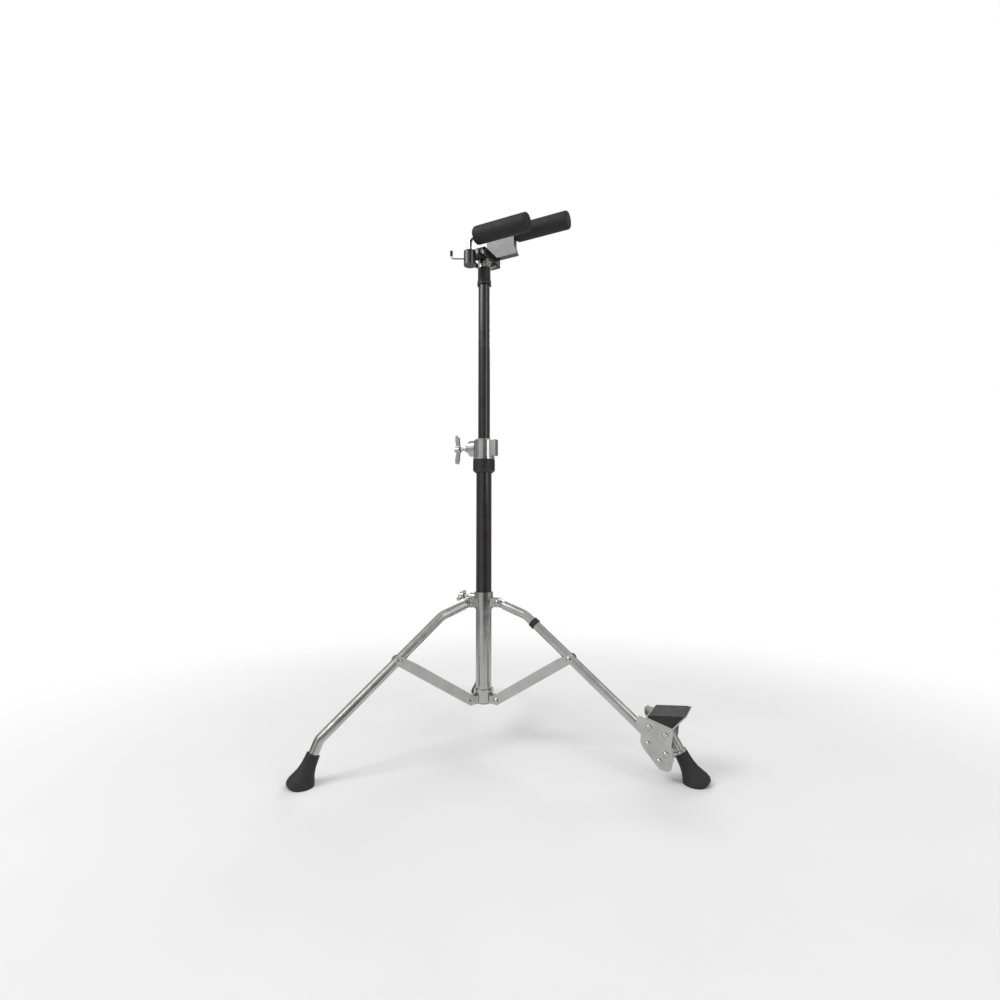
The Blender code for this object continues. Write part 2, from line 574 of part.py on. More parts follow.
head = combine(head, [step_block, shifted(clamp_eye, at(NEAR_POST_X, NEAR_ARM_Y, 0))])
post_hole = cylinder("hole", POST_RADIUS + SLIDE_GAP, HEAD_LOW_Z - 0.01, HEAD_HIGH_Z - 0.0015, TUBE_STEPS)
rod_hole = cylinder("hole", ARM_ROD_RADIUS + SLIDE_GAP, NEAR_BLOCK_LOW_Z + 0.004, NEAR_BLOCK_HIGH_Z + 0.02, 16)
hook_dir = Vector((math.cos(HOOK_HEADING), math.sin(HOOK_HEADING), 0))
hook_start = Vector((NEAR_POST_X, NEAR_ARM_Y, HOOK_Z)) + hook_dir * (ARM_ROD_RADIUS + 0.003)
hook_hole = cylinder("hole", HOOK_WIRE_RADIUS + TOUCH_GAP, -TOUCH_GAP, 0.02, 12)
hook_turned = Matrix.Translation(hook_start) @ hook_dir.to_track_quat("Z", "Y").to_matrix().to_4x4()
head = combine(head, [frozen(post_hole), shifted(rod_hole, at(NEAR_POST_X, NEAR_ARM_Y, 0)),
                      shifted(hook_hole, hook_turned)], "DIFFERENCE")
head.data.transform(to_head)
place(shade(head), head_turn, finish=BLACK_PAINT)

bracket_front_x = FAR_ARM_START_X - TOUCH_GAP
bracket_low_z = HEAD_HIGH_Z + TOUCH_GAP
bracket = sheet("far_arm_bracket", [
    (BRACKET_REAR_X, bracket_low_z), (bracket_front_x + BRACKET_TOE, bracket_low_z),
    (bracket_front_x - 0.001, bracket_low_z + 0.016), (bracket_front_x - 0.001, FAR_ARM_Z + 0.010),
    (BRACKET_REAR_X + 0.006, FAR_ARM_Z + 0.010), (BRACKET_REAR_X, FAR_ARM_Z + 0.004)], BRACKET_THICKNESS)
bracket.data.transform(at(0, FAR_ARM_Y, 0))
bracket_hole = cylinder("hole", ARM_ROD_RADIUS + TOUCH_GAP, BRACKET_REAR_X + 0.006, bracket_front_x + 0.01, 16)
bracket = combine(bracket, [shifted(bracket_hole, at(0, FAR_ARM_Y, FAR_ARM_Z) @ OUTWARD)], "DIFFERENCE")
bracket.data.transform(to_head)
place(shade(bracket), head_turn, finish=BLACK_PAINT)


def arm_sleeve(name):
    """Rubber tube closed at the front, along +X from its rear end."""
    rear = 0.0060
    front = 0.0040
    length = ARM_SLEEVE_LENGTH
    outer = ARM_SLEEVE_RADIUS
    profile = [(0, length)]
    profile += [(outer - front + front * math.sin(step * math.pi / 6), length - front + front * math.cos(step * math.pi / 6))
                for step in range(4)]
    profile += [(outer - rear + rear * math.cos(step * math.pi / 6), rear - rear * math.sin(step * math.pi / 6))
                for step in range(4)]
    inner = ARM_ROD_RADIUS + TOUCH_GAP
    profile += [(inner, 0), (inner, length - ARM_SLEEVE_END), (0, length - ARM_SLEEVE_END)]
    return shifted(turned(name, profile, ROUND_STEPS), OUTWARD)


far_rod = shifted(cylinder("far_arm_rod", ARM_ROD_RADIUS, BRACKET_REAR_X + 0.0065,
                           FAR_ARM_START_X + ARM_SLEEVE_LENGTH - ARM_SLEEVE_END - TOUCH_GAP, 16),
                  at(0, FAR_ARM_Y, FAR_ARM_Z) @ OUTWARD)
far_rod.data.transform(to_head)
place(shade(far_rod), head_turn, finish=CHROME)
far_sleeve = arm_sleeve("far_arm_sleeve")
far_sleeve.data.transform(to_head @ at(FAR_ARM_START_X, FAR_ARM_Y, FAR_ARM_Z))
place(shade(far_sleeve), head_turn, finish=RUBBER)

# Near arm swings on its upright end in the head's eye
arm_turn = pivot("near_arm_swing", (NEAR_POST_X, NEAR_ARM_Y, NEAR_BLOCK_HIGH_Z - HEAD_LOW_Z), parent=head_turn)
to_arm = at(-NEAR_POST_X, -NEAR_ARM_Y, -NEAR_BLOCK_HIGH_Z)
post_foot = (NEAR_POST_X, NEAR_BLOCK_LOW_Z + 0.004 + TOUCH_GAP)
rod_end = (NEAR_ARM_START_X + ARM_SLEEVE_LENGTH - ARM_SLEEVE_END - TOUCH_GAP, NEAR_ARM_Z)
bend = rounded_corner(post_foot, (NEAR_POST_X, NEAR_ARM_Z), rod_end, 0.010, 5)
near_rod = rod("near_arm_rod", [(x, NEAR_ARM_Y, z) for x, z in [post_foot] + bend + [rod_end]], ARM_ROD_RADIUS)
near_rod.data.transform(to_arm)
place(shade(near_rod), arm_turn, finish=CHROME)
near_sleeve = arm_sleeve("near_arm_sleeve")
near_sleeve.data.transform(to_arm @ at(NEAR_ARM_START_X, NEAR_ARM_Y, NEAR_ARM_Z))
place(shade(near_sleeve), arm_turn, finish=RUBBER)

# Bow hook: a wire that turns in the head, with a covered tip
hook_turn = pivot("bow_hook_turn", hook_start - Vector((0, 0, HEAD_LOW_Z)), parent=head_turn)
elbow = hook_dir * HOOK_REACH
flat_run = [(0.0, 0.0), (HOOK_REACH, 0.0), (HOOK_REACH, HOOK_RISE)]
hook_bend = rounded_corner(flat_run[0], flat_run[1], flat_run[2], 0.004, 4)
hook_path = [flat_run[0]] + hook_bend + [flat_run[2]]
hook = rod("bow_hook", [(*(hook_dir.xy * along), up) for along, up in hook_path], HOOK_WIRE_RADIUS, resolution=2)
place(shade(hook), hook_turn, finish=CHROME)
tip = turned("bow_hook_tip", [
    (0, HOOK_RISE + 0.002), (HOOK_TIP_RADIUS * 0.7, HOOK_RISE + 0.002), (HOOK_TIP_RADIUS, HOOK_RISE + 0.0008),
    (HOOK_TIP_RADIUS, HOOK_RISE + 0.002 - HOOK_TIP_LENGTH), (HOOK_WIRE_RADIUS + TOUCH_GAP, HOOK_RISE + 0.002 - HOOK_TIP_LENGTH),
    (HOOK_WIRE_RADIUS + TOUCH_GAP, HOOK_RISE + TOUCH_GAP), (0, HOOK_RISE + TOUCH_GAP)], 16)
tip = shifted(tip, at(elbow.x, elbow.y, 0))
place(shade(tip), hook_turn, finish=RUBBER)

# Legs
knee = (KNEE_RADIUS, leg_height(KNEE_RADIUS))
hinge = (HINGE_RADIUS, TOP_PIVOT_Z)
ankle = (ANKLE_RADIUS, leg_height(ANKLE_RADIUS))
knee_dir = (Vector(knee) - Vector(hinge)).normalized()
tube_start = Vector(hinge) + knee_dir * LEG_TUBE_START
foot_dir = Vector((math.cos(FOOT_SLOPE), -math.sin(FOOT_SLOPE)))
rim = Vector(ankle) + foot_dir * ((ankle[1] - FOOT_RIM_HEIGHT) / math.sin(FOOT_SLOPE))
leg_tip = rim + foot_dir * (FOOT_SOCKET_DEPTH - TOUCH_GAP)


def hollow_leg(name, path):
    """Bent tube along a path in the leg's plane, opened to its wall."""
    tube = rod(name, [(radius, 0, height) for radius, height in path], LEG_TUBE_RADIUS, capped=False, resolution=7)
    wall = tube.modifiers.new("Wall", "SOLIDIFY")
    wall.thickness = LEG_TUBE_WALL
    wall.offset = -1
    return frozen(tube)


def leg_eye(name):
    """Flat eye on the hinge with a round spigot inside the leg tube."""
    along = knee_dir
    spigot = cylinder("spigot", LEG_TUBE_RADIUS - LEG_TUBE_WALL - TOUCH_GAP, LEG_TUBE_START - 0.004,
                      LEG_TUBE_START + EYE_SPIGOT_DEPTH, 16)
    slope = math.atan2(-along.y, along.x)
    spigot = shifted(spigot, at(hinge[0], 0, hinge[1]) @ Matrix.Rotation(slope, 4, "Y") @ OUTWARD)
    side = Vector((-along.y, along.x)) * EYE_RADIUS
    inner = Vector(hinge) + along * (LEG_TUBE_START - TOUCH_GAP)
    start_angle = math.atan2(side.y, side.x)
    outline = arc(hinge, EYE_RADIUS, start_angle, start_angle + math.pi, 8)
    shoulder = side * 0.8
    outline += [tuple(inner - shoulder), tuple(inner + shoulder)]
    eye = sheet(name, outline, EYE_THICKNESS, [(*hinge, RIVET_RADIUS + SLIDE_GAP)])
    return shade(combine(eye, [spigot]))


def foot(name, rim_point, direction, socket_radius):
    """Club-shaped rubber foot round the end of a tube, cut flat where it stands."""
    slope = math.atan2(-direction.y, direction.x)
    length = rim_point.y / math.sin(slope)
    widths = [(0.0, 0.0), (0.10, 0.01), (0.35, 0.10), (0.55, 0.30), (0.72, 0.62), (0.86, 0.90), (0.97, 1.0)]
    profile = [(FOOT_RIM_RADIUS + (FOOT_BASE_RADIUS - FOOT_RIM_RADIUS) * share, length * along)
               for along, share in widths]
    profile += [(FOOT_BASE_RADIUS * 0.93, length * 1.07), (FOOT_BASE_RADIUS * 0.72, length * 1.13), (0, length * 1.14)]
    socket = socket_radius + TOUCH_GAP
    bored = [(0, FOOT_SOCKET_DEPTH), (socket, FOOT_SOCKET_DEPTH), (socket, 0)]
    outer = frozen(turned(name, bored + profile, TUBE_STEPS))
    outer.data.transform(at(rim_point.x, 0, rim_point.y) @ Matrix.Rotation(slope, 4, "Y") @ OUTWARD)
    ground = box("ground", (0.2, 0.2, 0.1), (rim_point.x, 0, -0.05))
    return shade(combine(outer, [ground], "DIFFERENCE"))


def brace(name):
    """Folded channel, open below, from the lower pivot to the junction with the leg."""
    start = Vector((HINGE_RADIUS, BOTTOM_PIVOT_Z))
    end = Vector((JUNCTION_RADIUS, leg_height(JUNCTION_RADIUS)))
    run = end - start
    length = run.length
    inner = LEG_TUBE_RADIUS + TOUCH_GAP
    web_low = inner
    web_high = inner + BRACE_SHEET
    left = arc((0, 0), BRACE_END_RADIUS, math.pi / 2, math.pi * 1.5, 8)
    right = arc((length, 0), BRACE_END_RADIUS, -math.pi / 2, math.pi / 2, 8)
    outline = left + right + [(length - BRACE_WEB_END, web_high), (BRACE_WEB_START, web_high)]
    holes = [(0, 0, RIVET_RADIUS + SLIDE_GAP), (length, 0, RIVET_RADIUS + TOUCH_GAP)]
    channel = box(name, (length - BRACE_WEB_START - BRACE_WEB_END, 2 * (inner + BRACE_SHEET * 0.5), web_high - web_low),
                  ((length - BRACE_WEB_END + BRACE_WEB_START) / 2, 0, (web_low + web_high) / 2))
    walls = []
    for side in (-1, 1):
        wall = sheet("wall", outline, BRACE_SHEET, holes)
        wall.data.transform(at(0, side * (inner + BRACE_SHEET / 2), 0))
        walls.append(wall)
    channel = combine(channel, walls)
    channel.data.transform(Matrix.Rotation(-math.atan2(run.y, run.x), 4, "Y"))
    return shade(channel), start, end


leg_bolt = (LEG_BOLT_RADIUS, leg_height(LEG_BOLT_RADIUS))
normal_path = [tuple(tube_start)] + rounded_corner(tube_start, knee, ankle, KNEE_BEND_RADIUS) \
    + rounded_corner(knee, ankle, leg_tip, ANKLE_BEND_RADIUS) + [tuple(leg_tip)]
front_end = (FRONT_LEG_END_RADIUS, leg_height(FRONT_LEG_END_RADIUS))
front_path = [tuple(tube_start)] + rounded_corner(tube_start, knee, front_end, KNEE_BEND_RADIUS) + [front_end]
wall_outer = LEG_TUBE_RADIUS + TOUCH_GAP + BRACE_SHEET
leg_pivots = []
for name, turn in zip(LEG_NAMES, LEG_TURNS):
    around = Vector((math.cos(turn), math.sin(turn), 0))
    leg_turn = pivot("leg_hinge_" + name, around * HINGE_RADIUS + Vector((0, 0, TOP_PIVOT_Z)), turn, top_slide)
    leg_pivots.append(leg_turn)
    to_leg = at(-HINGE_RADIUS, 0, -TOP_PIVOT_Z)
    tube = hollow_leg("leg_tube_" + name, front_path if turn == 0 else normal_path)
    if turn == 0:
        cross_hole = cylinder("hole", PLATE_BOLT_RADIUS + TOUCH_GAP, -0.012, 0.012, 16)
        tube = combine(tube, [shifted(cross_hole, at(leg_bolt[0], 0, leg_bolt[1]) @ ACROSS)], "DIFFERENCE")
    tube.data.transform(to_leg)
    place(shade(tube), leg_turn, finish=CHROME)
    eye = leg_eye("leg_eye_" + name)
    eye.data.transform(to_leg)
    place(eye, leg_turn, finish=CHROME)
    pin = rivet("leg_rivet_" + name, EYE_EAR_OFFSET + EAR_THICKNESS / 2)
    place(shade(pin), leg_turn, finish=CHROME)
    if turn != 0:
        rubber = foot("foot_" + name, rim, foot_dir, LEG_TUBE_RADIUS)
        rubber.data.transform(to_leg)
        place(rubber, leg_turn, finish=RUBBER)
    brace_turn = pivot("brace_hinge_" + name, around * HINGE_RADIUS + Vector((0, 0, BOTTOM_PIVOT_Z)), turn, root)
    strut, brace_start, brace_end = brace("brace_" + name)
    place(strut, brace_turn, finish=CHROME)
    pin = rivet("brace_rivet_" + name, wall_outer)
    place(shade(pin), brace_turn, finish=CHROME)
    for side, label in ((-1, "near"), (1, "far")):
        stud = rivet_head("junction_rivet_%s_%s" % (name, label), side, LEG_TUBE_RADIUS + TOUCH_GAP * 1.5, wall_outer)
        stud.data.transform(at(brace_end.x - HINGE_RADIUS, 0, brace_end.y - BOTTOM_PIVOT_Z))
        place(shade(stud), brace_turn, finish=CHROME)

# Black band on the front leg, below its knee
front_leg = leg_pivots[0]
to_front = at(-HINGE_RADIUS, 0, -TOP_PIVOT_Z)
slope_matrix = Matrix.Rotation(LEG_SLOPE, 4, "Y") @ OUTWARD
band_radius = KNEE_RADIUS + 0.016
band = pipe("leg_band", LEG_TUBE_RADIUS + TOUCH_GAP + BAND_THICKNESS, LEG_TUBE_RADIUS + TOUCH_GAP, -BAND_WIDTH / 2, BAND_WIDTH / 2, TUBE_STEPS)
band = shifted(band, to_front @ at(band_radius, 0, leg_height(band_radius)) @ slope_matrix)
place(shade(band), front_leg, finish=RUBBER)

# Cradle: two plates across the end of the front leg, a folded ledge with a lip, and a pad
ledge_dir = (Vector(LEDGE_END) - Vector(LEDGE_START)).normalized()
ledge_up = Vector((-ledge_dir.y, ledge_dir.x))
lip_dir = Vector((math.cos(LIP_SLOPE), math.sin(LIP_SLOPE)))
lip_out = Vector((lip_dir.y, -lip_dir.x))
plate_y = CRADLE_HALF_WIDTH - CRADLE_SHEET / 2
ledge_under = -ledge_up * (CRADLE_SHEET + TOUCH_GAP)
stub_dir = Vector((math.cos(STUB_SLOPE), -math.sin(STUB_SLOPE)))
stub_rim = Vector(STUB_RIM)


def stub_point(height):
    return stub_rim - stub_dir * ((height - stub_rim.y) / math.sin(STUB_SLOPE))


spare_bolt = (0.3030, 0.0815)
low_bolt = (0.3172, 0.0340)
side_bolt = (0.3272, 0.0455)
stub_bolt = tuple(stub_point(0.0730))
plate_bolts = {"leg": leg_bolt, "upper": spare_bolt, "lower": low_bolt, "side": side_bolt, "stub": stub_bolt}
plate_top_left = Vector(LEDGE_START) + ledge_under
plate_top_right = Vector(LEDGE_END) + ledge_under
plate_outline = [(0.2885, 0.0975), tuple(plate_top_left), tuple(plate_top_right),
                 (0.3375, 0.0720), (0.3355, 0.0560), (0.3385, 0.0380), (0.3345, 0.0235), (0.3300, 0.0205),
                 (0.3185, 0.0222), (0.3125, 0.0280), (0.2935, 0.0500), (0.2895, 0.0585),
                 (0.2905, 0.0700), (0.2835, 0.0850), (0.2838, 0.0935)]
for side, label in ((-1, "near"), (1, "far")):
    plate = sheet("cradle_plate_" + label, plate_outline, CRADLE_SHEET,
                  [(*point, PLATE_BOLT_RADIUS + TOUCH_GAP) for point in plate_bolts.values()])
    plate.data.transform(to_front @ at(0, side * plate_y, 0))
    place(shade(plate), front_leg, finish=CHROME)

spacer_end = CRADLE_HALF_WIDTH - CRADLE_SHEET - TOUCH_GAP
bolt_top = CRADLE_HALF_WIDTH + TOUCH_GAP
for label, point in plate_bolts.items():
    head_r = PLATE_BOLT_HEAD_RADIUS
    head_h = PLATE_BOLT_HEAD_HEIGHT
    shank = PLATE_BOLT_RADIUS
    upper = [(0, bolt_top + head_h), (head_r * 0.7, bolt_top + head_h), (head_r, bolt_top + head_h * 0.6),
             (head_r, bolt_top), (shank, bolt_top), (shank, spacer_end), (PLATE_SPACER_RADIUS, spacer_end)]
    waist = LEG_TUBE_RADIUS + TOUCH_GAP
    middle = [(PLATE_SPACER_RADIUS, waist), (shank, waist), (shank, -waist), (PLATE_SPACER_RADIUS, -waist)]
    lower = [(radius, -height) for radius, height in reversed(upper)]
    through_tube = label in ("leg", "stub")
    bolt = shifted(turned("cradle_bolt_" + label, upper + (middle if through_tube else []) + lower, 16), ACROSS)
    bolt.data.transform(to_front @ at(point[0], 0, point[1]))
    place(shade(bolt), front_leg, finish=CHROME)

stub_top = stub_point(STUB_TOP_Z)
stub_length = (stub_rim - stub_top).length + FOOT_SOCKET_DEPTH - TOUCH_GAP
stub_matrix = at(stub_top.x, 0, stub_top.y) @ Matrix.Rotation(STUB_SLOPE, 4, "Y") @ OUTWARD
stub = shifted(pipe("cradle_foot_tube", LEG_TUBE_RADIUS, LEG_TUBE_RADIUS - LEG_TUBE_WALL, 0, stub_length, TUBE_STEPS), stub_matrix)
stub_hole = shifted(cylinder("hole", PLATE_BOLT_RADIUS + TOUCH_GAP, -0.012, 0.012, 16), at(stub_bolt[0], 0, stub_bolt[1]) @ ACROSS)
stub = combine(stub, [stub_hole], "DIFFERENCE")
stub.data.transform(to_front)
place(shade(stub), front_leg, finish=CHROME)
ring_start = (stub_rim - stub_top).length - STUB_RING_HEIGHT - TOUCH_GAP
collar_ring = shifted(pipe("cradle_foot_ring", FOOT_RIM_RADIUS, LEG_TUBE_RADIUS + TOUCH_GAP, ring_start,
                           ring_start + STUB_RING_HEIGHT, TUBE_STEPS), to_front @ stub_matrix)
place(shade(collar_ring), front_leg, finish=CHROME)
front_foot = foot("foot_front", stub_rim, stub_dir, LEG_TUBE_RADIUS)
front_foot.data.transform(to_front)
place(front_foot, front_leg, finish=RUBBER)

corner = Vector(LEDGE_END)
lip_top = corner + lip_dir * LIP_LENGTH
bracket_outline = [LEDGE_START, tuple(corner), tuple(lip_top), tuple(lip_top + lip_out * CRADLE_SHEET),
                   tuple(corner + lip_out * CRADLE_SHEET), tuple(corner - ledge_up * CRADLE_SHEET),
                   tuple(Vector(LEDGE_START) - ledge_up * CRADLE_SHEET)]
cradle = sheet("cradle_bracket", bracket_outline, 2 * CRADLE_HALF_WIDTH)
cradle.data.transform(to_front)
place(shade(cradle), front_leg, finish=CHROME)

pad_gap = TOUCH_GAP
pad_rear = Vector(LEDGE_START) + ledge_dir * 0.0025 + ledge_up * pad_gap
pad_corner = corner + ledge_up * pad_gap - ledge_dir * 0.0008
pad_front = lip_top - lip_dir * 0.0015 - lip_out * pad_gap
pad_outline = [tuple(pad_rear), tuple(pad_corner), tuple(pad_front), tuple(pad_front + Vector((-0.004, 0.0006))),
               tuple(pad_rear + ledge_up * 0.0045 + ledge_dir * 0.002), tuple(pad_rear + ledge_up * 0.0030)]
pad = sheet("cradle_pad", pad_outline, 2 * CRADLE_HALF_WIDTH - 0.001)
pad.data.transform(to_front)
place(shade(pad), front_leg, finish=RUBBER)

# The origin goes to the centre of the footprint, on the floor
bpy.context.view_layer.update()
corners = [obj.matrix_world @ Vector(corner_at) for obj in stand.objects if obj.type == "MESH" for corner_at in obj.bound_box]
low = [min(point[axis] for point in corners) for axis in range(3)]
high = [max(point[axis] for point in corners) for axis in range(3)]
root.location = (-(low[0] + high[0]) / 2, -(low[1] + high[1]) / 2, -low[2])
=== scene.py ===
import json
import math

import bpy
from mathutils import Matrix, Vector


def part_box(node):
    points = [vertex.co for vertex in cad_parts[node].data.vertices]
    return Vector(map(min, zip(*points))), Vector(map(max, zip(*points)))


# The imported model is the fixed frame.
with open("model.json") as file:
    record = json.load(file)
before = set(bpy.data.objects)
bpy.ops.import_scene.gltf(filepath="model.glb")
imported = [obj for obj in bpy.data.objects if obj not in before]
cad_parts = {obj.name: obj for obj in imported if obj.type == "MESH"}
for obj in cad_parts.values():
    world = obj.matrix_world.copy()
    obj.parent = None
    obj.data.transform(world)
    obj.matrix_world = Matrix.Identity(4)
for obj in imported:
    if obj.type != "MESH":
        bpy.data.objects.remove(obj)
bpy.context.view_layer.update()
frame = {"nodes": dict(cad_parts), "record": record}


# The plated pieces are the column's foot, the legs and their struts, the collars,
# the clamp, the bolts, the arm rods and the cradle's plates: formed steel tube and
# strip and small castings, polished and then chrome plated all over.
def new_node(tree, kind, **inputs):
    """A node of this kind in the tree, with its named inputs set."""
    node = tree.nodes.new(kind)
    for name, value in inputs.items():
        node.inputs[name.replace("_", " ")].default_value = value
    return node


def join(tree, *pairs):
    """Links each (output, input) pair of sockets."""
    for output, target in pairs:
        tree.links.new(output, target)


def ramp(tree, factor, stops):
    """A colour ramp over the factor, with these (position, grey or colour) stops."""
    node = tree.nodes.new("ShaderNodeValToRGB")
    elements = node.color_ramp.elements
    while len(elements) < len(stops):
        elements.new(0.5)
    for element, (position, colour) in zip(elements, stops):
        if isinstance(colour, float):
            colour = (colour, colour, colour)
        element.position = position
        element.color = (*colour, 1.0)
    tree.links.new(factor, node.inputs["Fac"])
    return node.outputs["Color"]


def new_group(name, inputs, outputs):
    """A shader node group with these number inputs and typed outputs, and its two end nodes."""
    group = bpy.data.node_groups.new(name, "ShaderNodeTree")
    for label, value in inputs.items():
        socket = group.interface.new_socket(label, in_out="INPUT", socket_type="NodeSocketFloat")
        socket.default_value = value
    for label, kind in outputs.items():
        group.interface.new_socket(label, in_out="OUTPUT", socket_type=kind)
    return group, group.nodes.new("NodeGroupInput"), group.nodes.new("NodeGroupOutput")


# Handling marks are the faint mottle of a finish that has been used: noise at two
# scales in the piece's own metres. The coarse one is the mask, the fine one the bump.
FINE_TO_COARSE = 12.0
MARK_DEPTH = 0.0004
marks, marks_in, marks_out = new_group(
    "handling_marks", {"Scale": 60.0, "Bump": 0.05},
    {"Mask": "NodeSocketFloat", "Normal": "NodeSocketVector"})
marks_place = marks.nodes.new("ShaderNodeTexCoord")
coarse_noise = new_node(marks, "ShaderNodeTexNoise", Detail=6.0, Roughness=0.6)
fine_noise = new_node(marks, "ShaderNodeTexNoise", Detail=4.0, Roughness=0.7)
fine_scale = marks.nodes.new("ShaderNodeMath")
fine_scale.operation = "MULTIPLY"
fine_scale.inputs[1].default_value = FINE_TO_COARSE
marks_bump = new_node(marks, "ShaderNodeBump", Distance=MARK_DEPTH)
join(marks,
     (marks_place.outputs["Object"], coarse_noise.inputs["Vector"]),
     (marks_place.outputs["Object"], fine_noise.inputs["Vector"]),
     (marks_in.outputs["Scale"], coarse_noise.inputs["Scale"]),
     (marks_in.outputs["Scale"], fine_scale.inputs[0]),
     (fine_scale.outputs[0], fine_noise.inputs["Scale"]),
     (marks_in.outputs["Bump"], marks_bump.inputs["Strength"]),
     (fine_noise.outputs["Fac"], marks_bump.inputs["Height"]),
     (coarse_noise.outputs["Fac"], marks_out.inputs["Mask"]),
     (marks_bump.outputs["Normal"], marks_out.inputs["Normal"]))

# Edge wear shows where the surface turns within the given width: there the rounded
# normal leaves the true one, and noise breaks the line up.
EDGE_WIDTH = 0.001
EDGE_STARTS, EDGE_FULL = 0.995, 0.90
EDGE_NOISE_SCALE = 180.0
wear, wear_in, wear_out = new_group("edge_wear", {"Width": EDGE_WIDTH}, {"Mask": "NodeSocketFloat"})
wear_place = wear.nodes.new("ShaderNodeTexCoord")
true_surface = wear.nodes.new("ShaderNodeNewGeometry")
rounded = wear.nodes.new("ShaderNodeBevel")
rounded.samples = 4
agreement = wear.nodes.new("ShaderNodeVectorMath")
agreement.operation = "DOT_PRODUCT"
turn = new_node(wear, "ShaderNodeMapRange", From_Min=EDGE_STARTS, From_Max=EDGE_FULL)
wear_noise = new_node(wear, "ShaderNodeTexNoise", Scale=EDGE_NOISE_SCALE, Detail=5.0)
broken_up = wear.nodes.new("ShaderNodeMath")
broken_up.operation = "MULTIPLY"
join(wear,
     (wear_in.outputs["Width"], rounded.inputs["Radius"]),
     (rounded.outputs["Normal"], agreement.inputs[0]),
     (true_surface.outputs["Normal"], agreement.inputs[1]),
     (agreement.outputs["Value"], turn.inputs["Value"]),
     (wear_place.outputs["Object"], wear_noise.inputs["Vector"]),
     (turn.outputs["Result"], broken_up.inputs[0]),
     (wear_noise.outputs["Fac"], broken_up.inputs[1]),
     (broken_up.outputs[0], wear_out.inputs["Mask"]))


def finish(name, dark, light, worn, roughness, marks_scale, bump, metallic=0.0, coat=0.0):
    """A finish whose colour and roughness vary with the handling marks, with a worn colour on edges."""
    material = bpy.data.materials.new(name)
    material.use_nodes = True
    tree = material.node_tree
    surface = tree.nodes["Principled BSDF"]
    surface.inputs["Metallic"].default_value = metallic
    surface.inputs["Coat Weight"].default_value = coat
    surface.inputs["Coat Roughness"].default_value = 0.12
    handled = tree.nodes.new("ShaderNodeGroup")
    handled.node_tree = marks
    handled.inputs["Scale"].default_value = marks_scale
    handled.inputs["Bump"].default_value = bump
    rubbed = tree.nodes.new("ShaderNodeGroup")
    rubbed.node_tree = wear
    mask = handled.outputs["Mask"]
    mixed = tree.nodes.new("ShaderNodeMix")
    mixed.data_type = "RGBA"
    mixed.inputs["B"].default_value = (*worn, 1.0)
    join(tree,
         (rubbed.outputs["Mask"], mixed.inputs["Factor"]),
         (ramp(tree, mask, [(0.35, dark), (0.65, light)]), mixed.inputs["A"]),
         (mixed.outputs["Result"], surface.inputs["Base Color"]),
         (ramp(tree, mask, [(0.3, roughness[0]), (0.7, roughness[1])]), surface.inputs["Roughness"]),
         (handled.outputs["Normal"], surface.inputs["Normal"]))
    return material


def cover(slot_name, material):
    """Gives the material to each CAD node that the record lists under this slot."""
    for part in frame["record"]["subparts"]:
        if part["material_slot"] == slot_name:
            piece = frame["nodes"][part["node"]]
            if not piece.material_slots:
                piece.data.materials.append(None)
            for slot in piece.material_slots:
                slot.material = material


cover("chrome_plate", finish(
    "plating", dark=(0.42, 0.42, 0.41), light=(0.52, 0.52, 0.51), worn=(0.62, 0.62, 0.61),
    roughness=(0.16, 0.28), marks_scale=35.0, bump=0.04, metallic=1.0))

# The painted pieces are the two black tubes of the column, the yoke head and the
# far arm's bracket: steel under a gloss black-brown enamel with a clear skin.
cover("black_paint", finish(
    "black_enamel", dark=(0.012, 0.010, 0.010), light=(0.022, 0.018, 0.017), worn=(0.09, 0.08, 0.075),
    roughness=(0.22, 0.34), marks_scale=45.0, bump=0.05, coat=0.4))

# The rubber pieces are the arm sleeves, the hook's tip, the band on the front leg,
# the feet and the cradle's pad: black rubber, moulded with a fine matt grain.
cover("black_rubber", finish(
    "moulded_rubber", dark=(0.010, 0.010, 0.010), light=(0.020, 0.020, 0.020), worn=(0.05, 0.05, 0.05),
    roughness=(0.55, 0.75), marks_scale=90.0, bump=0.30))

# The plastic pieces are the column's end cap, the socket under the clamp, the guide
# on the foot of the upper tube and the bushing at its top: satin black mouldings.
cover("black_plastic", finish(
    "satin_plastic", dark=(0.012, 0.012, 0.013), light=(0.020, 0.020, 0.021), worn=(0.05, 0.05, 0.05),
    roughness=(0.35, 0.50), marks_scale=120.0, bump=0.15))

# The floor is a sheet of pale studio paper with a faint mottle. It fades out with
# distance, so that no horizon shows between it and the white surround.
FLOOR_SIZE = 8.0
FADE_STARTS, FADE_ENDS = 0.45, 1.30
bpy.ops.mesh.primitive_grid_add(
    x_subdivisions=8, y_subdivisions=8, size=FLOOR_SIZE, location=(0.0, 0.0, 0.0))
floor = bpy.context.object
floor.name = "studio_floor"
paper = bpy.data.materials.new("studio_paper")
paper.use_nodes = True
paper_tree = paper.node_tree
paper_surface = paper_tree.nodes["Principled BSDF"]
paper_surface.inputs["Roughness"].default_value = 0.9
paper_place = paper_tree.nodes.new("ShaderNodeTexCoord")
paper_noise = new_node(paper_tree, "ShaderNodeTexNoise", Scale=3.0, Detail=3.0)
paper_colour = ramp(paper_tree, paper_noise.outputs["Fac"], [(0.3, 0.88), (0.7, 0.91)])
paper_reach = paper_tree.nodes.new("ShaderNodeVectorMath")
paper_reach.operation = "LENGTH"
paper_fade = new_node(paper_tree, "ShaderNodeMapRange", From_Min=FADE_STARTS, From_Max=FADE_ENDS)
paper_fade.interpolation_type = "SMOOTHSTEP"
paper_clear = paper_tree.nodes.new("ShaderNodeBsdfTransparent")
paper_mix = paper_tree.nodes.new("ShaderNodeMixShader")
